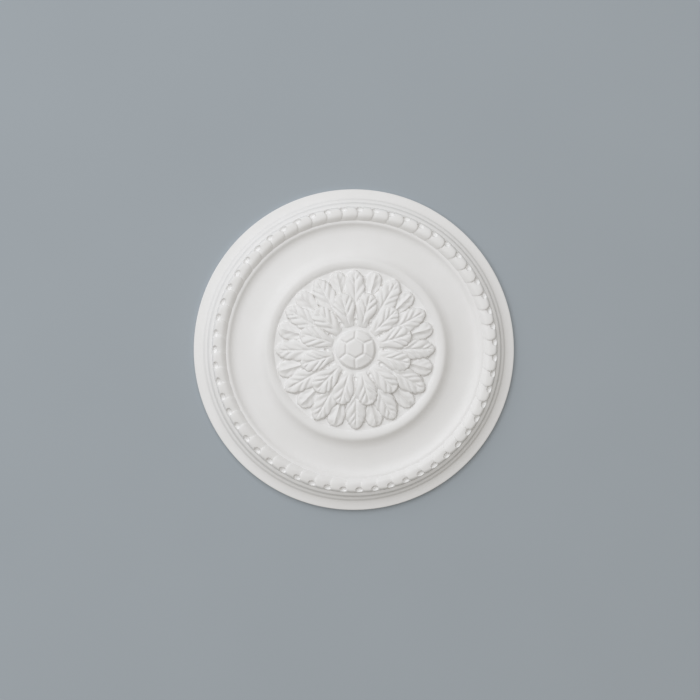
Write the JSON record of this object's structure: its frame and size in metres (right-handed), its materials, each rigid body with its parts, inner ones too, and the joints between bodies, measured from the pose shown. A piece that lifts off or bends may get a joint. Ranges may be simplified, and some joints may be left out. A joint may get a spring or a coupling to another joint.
{
  "type": "ceiling rose",
  "caption": "Round moulded ceiling rose with a flat back, a stepped and roped border, a wide plain cove and a central rosette of overlapping leaves round a plated boss.",
  "frame": {"origin": "centre of the flat back face, where the rose is glued to the ceiling", "axes": "the back face is the plane z = 0 and faces -Z; the ornament faces +Z; +Y is the top of the rose as it is seen from the front. On a ceiling the part is turned over, so that its -Z side meets the ceiling."},
  "size_m": [0.3998, 0.4, 0.0355],
  "materials": {
    "rose_white": "matt white factory primer on moulded rigid polyurethane foam"
  },
  "bodies": {
    "root": {"ceiling_rose": "rose_white"}
  },
  "joints": []
}
